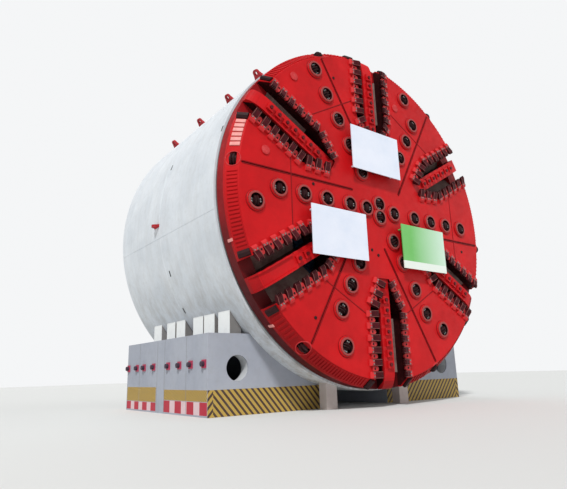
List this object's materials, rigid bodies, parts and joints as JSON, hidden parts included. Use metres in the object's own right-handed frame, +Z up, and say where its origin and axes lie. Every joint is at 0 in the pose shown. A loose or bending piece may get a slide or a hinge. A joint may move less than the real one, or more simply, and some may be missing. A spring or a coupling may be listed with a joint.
{
  "type": "full-face tunnel boring machine cutterhead and shield",
  "caption": "Round cutterhead with rows of disc cutters, knives and muck openings, turning on a cylindrical shield that stands in a box cradle.",
  "frame": {"origin": "on the floor, under the middle of the machine's length and width", "axes": "+Z up; -Y is the cutting face, and the machine's axis runs along Y; +X to the right when the face is seen from in front"},
  "size_m": [15.6238, 10.97, 15.7529],
  "materials": {
    "head_red": "gloss",
    "tool_steel": "rough",
    "rim_red": "satin",
    "board_white": "matte",
    "board_green": "matte",
    "shield_white": "satin",
    "inner_grey": "satin",
    "drive_blue": "satin",
    "machined_steel": "machined",
    "door_yellow": "satin",
    "lug_red": "satin",
    "cradle_grey": "satin",
    "prop_white": "satin"
  },
  "bodies": {
    "shield": {"front_shield": "shield_white", "rear_shield": "shield_white", "shield_rings": "shield_white", "bulkhead": "inner_grey", "main_drive": "inner_grey", "drive_motors": "drive_blue", "thrust_cylinders": "drive_blue", "man_lock": "inner_grey", "slurry_pipes": "drive_blue", "lifting_lugs": "lug_red", "cradle_left": "cradle_grey", "cradle_right": "cradle_grey", "manhole_linings": "prop_white", "front_props": "prop_white", "stools": "prop_white", "tie_heads": "lug_red"},
    "cutterhead": {"head_centre": "head_red", "main_arm_1": "head_red", "main_arm_2": "head_red", "main_arm_3": "head_red", "main_arm_4": "head_red", "main_arm_5": "head_red", "main_arm_6": "head_red", "spokes": "head_red", "spoke_plain": "head_red", "spoke_inserts": "tool_steel", "rim_ring": "rim_red", "knives_1": "tool_steel", "knives_2": "tool_steel", "knives_3": "tool_steel", "knives_4": "tool_steel", "knives_5": "tool_steel", "knives_6": "tool_steel", "edge_guards": "head_red", "rim_scrapers": "tool_steel", "board_upper": "board_white", "board_left": "board_white", "board_right": "board_green", "head_carrier": "rim_red"},
    "man_lock_door": {"man_lock_door": "door_yellow"},
    "thrust_rams": {"thrust_shoes": "machined_steel"},
    "discs_centre": {"discs_centre": "tool_steel"},
    "discs_arm_1": {"discs_arm_1": "tool_steel"},
    "discs_arm_2": {"discs_arm_2": "tool_steel"},
    "discs_arm_3": {"discs_arm_3": "tool_steel"},
    "discs_arm_4": {"discs_arm_4": "tool_steel"},
    "discs_arm_5": {"discs_arm_5": "tool_steel"},
    "discs_arm_6": {"discs_arm_6": "tool_steel"},
    "disc_outer_2": {"disc_outer_2": "tool_steel"},
    "disc_outer_4": {"disc_outer_4": "tool_steel"},
    "disc_outer_5": {"disc_outer_5": "tool_steel"},
    "disc_outer_6": {"disc_outer_6": "tool_steel"},
    "disc_rim_1": {"disc_rim_1": "tool_steel"},
    "disc_rim_2": {"disc_rim_2": "tool_steel"},
    "disc_rim_3": {"disc_rim_3": "tool_steel"},
    "disc_rim_4": {"disc_rim_4": "tool_steel"},
    "disc_rim_5": {"disc_rim_5": "tool_steel"},
    "disc_rim_6": {"disc_rim_6": "tool_steel"}
  },
  "joints": [
    {"name": "cutterhead_turn", "type": "hinge", "parent": "shield", "child": "cutterhead", "pos_m": [0, -3.035, 8.193], "axis": [0, 1, 0], "continuous": true},
    {"name": "door_swing", "type": "hinge", "parent": "shield", "child": "man_lock_door", "pos_m": [-0.49, 1.2353, 12.893], "axis": [0, 0, 1], "range_deg": [0, 100]},
    {"name": "rams_out", "type": "slide", "parent": "shield", "child": "thrust_rams", "axis": [0, 1, 0], "range_m": [0, 2.2]},
    {"name": "turn_discs_centre", "type": "hinge", "parent": "cutterhead", "child": "discs_centre", "pos_m": [0, -5.035, 8.193], "axis": [0, 0, 1], "continuous": true},
    {"name": "turn_discs_arm_1", "type": "hinge", "parent": "cutterhead", "child": "discs_arm_1", "pos_m": [0.92, -5.035, 8.193], "axis": [1, 0, 0], "continuous": true},
    {"name": "turn_discs_arm_2", "type": "hinge", "parent": "cutterhead", "child": "discs_arm_2", "pos_m": [1.65, -5.035, 11.05088], "axis": [0.5, 0, 0.866], "continuous": true},
    {"name": "turn_discs_arm_3", "type": "hinge", "parent": "cutterhead", "child": "discs_arm_3", "pos_m": [-0.925, -5.035, 9.79515], "axis": [-0.5, 0, 0.866], "continuous": true},
    {"name": "turn_discs_arm_4", "type": "hinge", "parent": "cutterhead", "child": "discs_arm_4", "pos_m": [-0.79, -5.035, 8.193], "axis": [-1, 0, 0], "continuous": true},
    {"name": "turn_discs_arm_5", "type": "hinge", "parent": "cutterhead", "child": "discs_arm_5", "pos_m": [-1.43, -5.035, 5.71617], "axis": [-0.5, 0, -0.866], "continuous": true},
    {"name": "turn_discs_arm_6", "type": "hinge", "parent": "cutterhead", "child": "discs_arm_6", "pos_m": [0.75, -5.035, 6.89396], "axis": [0.5, 0, -0.866], "continuous": true},
    {"name": "turn_disc_outer_2", "type": "hinge", "parent": "cutterhead", "child": "disc_outer_2", "pos_m": [2.34731, -5.035, 14.30795], "axis": [0.3584, 0, 0.9336], "continuous": true},
    {"name": "turn_disc_outer_4", "type": "hinge", "parent": "cutterhead", "child": "disc_outer_4", "pos_m": [-6.46439, -5.035, 7.51356], "axis": [-0.9945, 0, -0.1045], "continuous": true},
    {"name": "turn_disc_outer_5", "type": "hinge", "parent": "cutterhead", "child": "disc_outer_5", "pos_m": [-2.41856, -5.035, 2.35408], "axis": [-0.3827, 0, -0.9239], "continuous": true},
    {"name": "turn_disc_outer_6", "type": "hinge", "parent": "cutterhead", "child": "disc_outer_6", "pos_m": [3.60036, -5.035, 3.14548], "axis": [0.5807, 0, -0.8141], "continuous": true},
    {"name": "turn_disc_rim_1", "type": "hinge", "parent": "cutterhead", "child": "disc_rim_1", "pos_m": [7.21778, -4.8793, 7.37064], "axis": [0.6435, 0.7619, -0.0733], "continuous": true},
    {"name": "turn_disc_rim_2", "type": "hinge", "parent": "cutterhead", "child": "disc_rim_2", "pos_m": [4.32107, -4.8793, 14.0326], "axis": [0.3852, 0.7619, 0.5206], "continuous": true},
    {"name": "turn_disc_rim_3", "type": "hinge", "parent": "cutterhead", "child": "disc_rim_3", "pos_m": [-2.8967, -4.8793, 14.85496], "axis": [-0.2582, 0.7619, 0.5939], "continuous": true},
    {"name": "turn_disc_rim_4", "type": "hinge", "parent": "cutterhead", "child": "disc_rim_4", "pos_m": [-7.21778, -4.8793, 9.01536], "axis": [-0.6435, 0.7619, 0.0733], "continuous": true},
    {"name": "turn_disc_rim_5", "type": "hinge", "parent": "cutterhead", "child": "disc_rim_5", "pos_m": [-4.32107, -4.8793, 2.3534], "axis": [-0.3852, 0.7619, -0.5206], "continuous": true},
    {"name": "turn_disc_rim_6", "type": "hinge", "parent": "cutterhead", "child": "disc_rim_6", "pos_m": [2.8967, -4.8793, 1.53104], "axis": [0.2582, 0.7619, -0.5939], "continuous": true}
  ]
}
